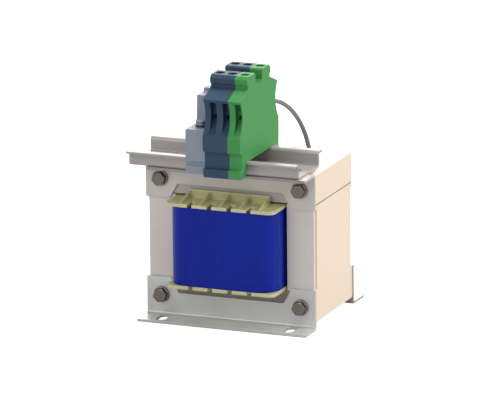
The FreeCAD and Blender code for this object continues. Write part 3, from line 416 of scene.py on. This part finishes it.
clampBolt = {
    "flats": 0.0061,
    "headHeight": 0.0026,
    "topRim": 0.46,        # radius of the head's top circle, as a share of the flats
    "spread": 1.732,       # a 30 degree chamfer: the cone widens by this much of its height
    "headSegments": 72,
    "turns": {"lower_left": 43, "lower_right": 38, "upper_left": 45, "upper_right": 37},  # degrees
    "shank": 0.00195,
    "threadDepth": 0.0003,
    "pitch": 0.0007,
    "threads": 12,
    "shankSteps": 28,
    "washer": (0.0022, 0.0038, 0.0008),  # inner radius, outer radius, thickness
    "washerSteps": 40,
    "soft": 0.0001,
    "plainHead": 0.0028,   # head height of the plain solid, whose seat is the plate's front
}


def cutHexHead(shape, look, seat, turned):  # a blunt cone, trimmed by six flats
    flats, high = look["flats"], look["headHeight"]
    rim = flats * look["topRim"]
    bmesh.ops.create_cone(shape, cap_ends=True, segments=look["headSegments"],
                          radius1=rim + high * look["spread"], radius2=rim, depth=high)
    bmesh.ops.translate(shape, verts=shape.verts[:], vec=(0, 0, seat + high / 2))
    for k in range(6):
        angle = math.radians(60 * k + turned)
        away = Vector((math.cos(angle), math.sin(angle), 0))
        cut = bmesh.ops.bisect_plane(shape, geom=shape.verts[:] + shape.edges[:] + shape.faces[:],
                                     plane_co=away * flats / 2, plane_no=away, clear_outer=True)
        rimEdges = [e for e in cut["geom_cut"] if isinstance(e, bmesh.types.BMEdge)]
        side = bmesh.ops.contextual_create(shape, geom=rimEdges)
        # the flats get the near-black painted-shade finish
        for face in side["faces"]:
            face.material_index = 1


def makeClampBolt(look, place, plateFront):
    node = "clamp_bolt_" + place
    low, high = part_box(node)
    seat = look["washer"][2]
    length = high[1] - plateFront
    middle = Vector(((low[0] + high[0]) / 2, plateFront, (low[2] + high[2]) / 2))
    turn = Matrix.Translation(middle) @ Matrix.Rotation(math.radians(90), 4, "X")
    shape = bmesh.new()
    cutHexHead(shape, look, seat, look["turns"][place])
    shank, root, pitch = look["shank"], look["shank"] - look["threadDepth"], look["pitch"]
    profile = [(0, seat), (shank, seat), (shank, -length + look["threads"] * pitch)]
    for k in range(look["threads"] - 1, 0, -1):
        profile += [(root, -length + (k + 0.5) * pitch), (shank, -length + k * pitch)]
    profile += [(root, -length), (0, -length)]
    spinProfile(shape, profile, look["shankSteps"])
    title = place.title().replace("_", "")
    finishPiece(shape, "hexBolt" + title, ("bolt", "paintedShadeDark"), node, turn)
    shape = bmesh.new()
    inner, outer, thick = look["washer"]
    soft = look["soft"]
    spinProfile(shape, [(inner, 0), (outer - soft, 0), (outer, soft), (outer, thick - soft),
                        (outer - soft, thick), (inner, thick), (inner, 0)], look["washerSteps"])
    # the washer's rim gets the near-black painted-shade finish
    for face in shape.faces:
        if face.calc_center_median().to_2d().length > outer - 2 * soft:
            face.material_index = 1
    finishPiece(shape, "frontWasher" + title, ("washer", "paintedShadeDark"), None, turn)


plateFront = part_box("clamp_bolt_upper_left")[0][1] + clampBolt["plainHead"]
for place in clampBolt["turns"]:
    makeClampBolt(clampBolt, place, plateFront)
print("clamp bolts made")


gripScrew = {
    "headRadius": 0.0024,
    "headHeight": 0.0019,
    "collar": (0.0028, 0.0006),  # radius and thickness of the ring under the head, painted dark as shade
    "raised": 0.0011,            # the head's top above the plain solid's
    "neck": 0.0017,
    "soft": 0.0002,
    "slot": (0.0008, 0.0010),    # width and depth
    "turn": 35,                  # degrees
    "steps": 48,
}


def makeGripScrew(look):
    low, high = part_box("end_bracket_screw")
    length = high[2] - low[2]
    top = length + look["raised"]
    seat = top - look["headHeight"]
    ringRadius, ringHeight = look["collar"]
    r, soft, neck = look["headRadius"], look["soft"], look["neck"]
    width, depth = look["slot"]
    ringFloor, slotFloor, tiny = seat - ringHeight, top - depth, 1e-6
    shape = bmesh.new()
    spinProfile(shape, [(0, 0), (neck - soft, 0), (neck, soft), (neck, ringFloor),
                        (ringRadius, ringFloor), (ringRadius, seat), (r, seat), (r, slotFloor)],
                look["steps"])
    # the ring under the head gets the near-black painted-shade finish
    for face in shape.faces:
        if ringFloor - tiny < face.calc_center_median().z < seat - tiny:
            face.material_index = 1
    rim = [e for e in shape.edges if e.is_boundary and e.verts[0].co.z > slotFloor - tiny]
    bmesh.ops.contextual_create(shape, geom=rim)  # floor of the slot
    for side in (-1, 1):  # the two raised halves of the head
        half = bmesh.new()
        spinProfile(half, [(0, slotFloor), (r, slotFloor), (r, top - soft), (r - soft, top),
                           (0, top)], look["steps"])
        bmesh.ops.bisect_plane(half, geom=half.verts[:] + half.edges[:] + half.faces[:],
                               plane_co=(0, side * width / 2, 0), plane_no=(0, -side, 0),
                               clear_outer=True)
        bmesh.ops.contextual_create(half, geom=[e for e in half.edges if e.is_boundary])
        mesh = bpy.data.meshes.new("halfHead")
        half.to_mesh(mesh)
        half.free()
        shape.from_mesh(mesh)
        bpy.data.meshes.remove(mesh)
    middle = Vector(((low[0] + high[0]) / 2, (low[1] + high[1]) / 2, low[2]))
    turn = Matrix.Translation(middle) @ Matrix.Rotation(math.radians(look["turn"]), 4, "Z")
    finishPiece(shape, "gripScrew", ("steel", "paintedShadeDark"), "end_bracket_screw", turn)


makeGripScrew(gripScrew)
print("end bracket screw made")


stageLook = {
    "floorSize": 6.0,
    "floorTones": ((190, 191, 192), (196, 197, 198)),
    "floorGlow": 0.9,      # for camera rays only
    "worldSeen": 1.0,      # white behind the object
    "worldLight": 0.36,
    "worldTone": (1, 0.995, 0.985, 1),
    "aim": (0, 0, 0.05),
    "lamps": [  # name, place, width and height, watts, colour
        ("sideLamp", (1.6, 0.25, 0.7), (0.9, 0.9), 14.5, (1.0, 0.96, 0.90)),
        ("topLamp", (0.25, 0.35, 1.9), (1.2, 1.2), 26, (1.0, 0.99, 0.98)),
        ("frontLamp", (-0.45, -1.9, 1.05), (1.7, 1.5), 15.5, (0.95, 0.97, 1.0)),
        ("backLamp", (-1.1, 2.9, 0.95), (3.6, 1.7), 60, (1.0, 1.0, 1.0)),
    ],
}


def makeFloor(look):
    shape = bmesh.new()
    bmesh.ops.create_grid(shape, x_segments=1, y_segments=1, size=look["floorSize"] / 2)
    mesh = bpy.data.meshes.new("floor")
    shape.to_mesh(mesh)
    shape.free()
    floor = bpy.data.objects.new("floor", mesh)
    bpy.context.scene.collection.objects.link(floor)
    material, tree, shader = newMaterial("paleFloor")
    cloud = addNoise(tree, objectPoints(tree), 3, 2, 0.5)
    colour = addTones(tree, cloud, *look["floorTones"])
    tree.links.new(colour.outputs[2], shader.inputs["Base Color"])
    shader.inputs["Roughness"].default_value = 0.9
    shader.inputs["Specular IOR Level"].default_value = 0.1
    path = tree.nodes.new("ShaderNodeLightPath")
    seen = addRange(tree, path, "Is Camera Ray", 0, look["floorGlow"], 0, 1)
    link(tree, seen, "Result", shader, "Emission Strength")
    shader.inputs["Emission Color"].default_value = (1, 1, 1, 1)
    dress(floor, material)


def makeWorld(look):
    world = bpy.data.worlds.new("studio")
    bpy.context.scene.world = world
    world.use_nodes = True
    tree = world.node_tree
    tree.nodes.clear()
    output = tree.nodes.new("ShaderNodeOutputWorld")
    mix = tree.nodes.new("ShaderNodeMixShader")
    path = tree.nodes.new("ShaderNodeLightPath")
    seen = tree.nodes.new("ShaderNodeBackground")
    lit = tree.nodes.new("ShaderNodeBackground")
    seen.inputs["Strength"].default_value = look["worldSeen"]
    lit.inputs["Strength"].default_value = look["worldLight"]
    seen.inputs["Color"].default_value = (1, 1, 1, 1)
    lit.inputs["Color"].default_value = look["worldTone"]
    link(tree, path, "Is Camera Ray", mix, 0)
    tree.links.new(lit.outputs[0], mix.inputs[1])
    tree.links.new(seen.outputs[0], mix.inputs[2])
    tree.links.new(mix.outputs[0], output.inputs["Surface"])


def makeLamps(look):
    for name, place, size, power, colour in look["lamps"]:
        data = bpy.data.lights.new(name, "AREA")
        data.shape = "RECTANGLE"
        data.size, data.size_y = size
        data.energy, data.color = power, colour
        lamp = bpy.data.objects.new(name, data)
        bpy.context.scene.collection.objects.link(lamp)
        lamp.location = place
        lamp.visible_camera = False
        aim = Vector(look["aim"]) - Vector(place)
        lamp.rotation_euler = aim.to_track_quat("-Z", "Y").to_euler()


makeFloor(stageLook)
makeWorld(stageLook)
makeLamps(stageLook)
bpy.context.scene.view_settings.view_transform = "Standard"
print("stage lit")
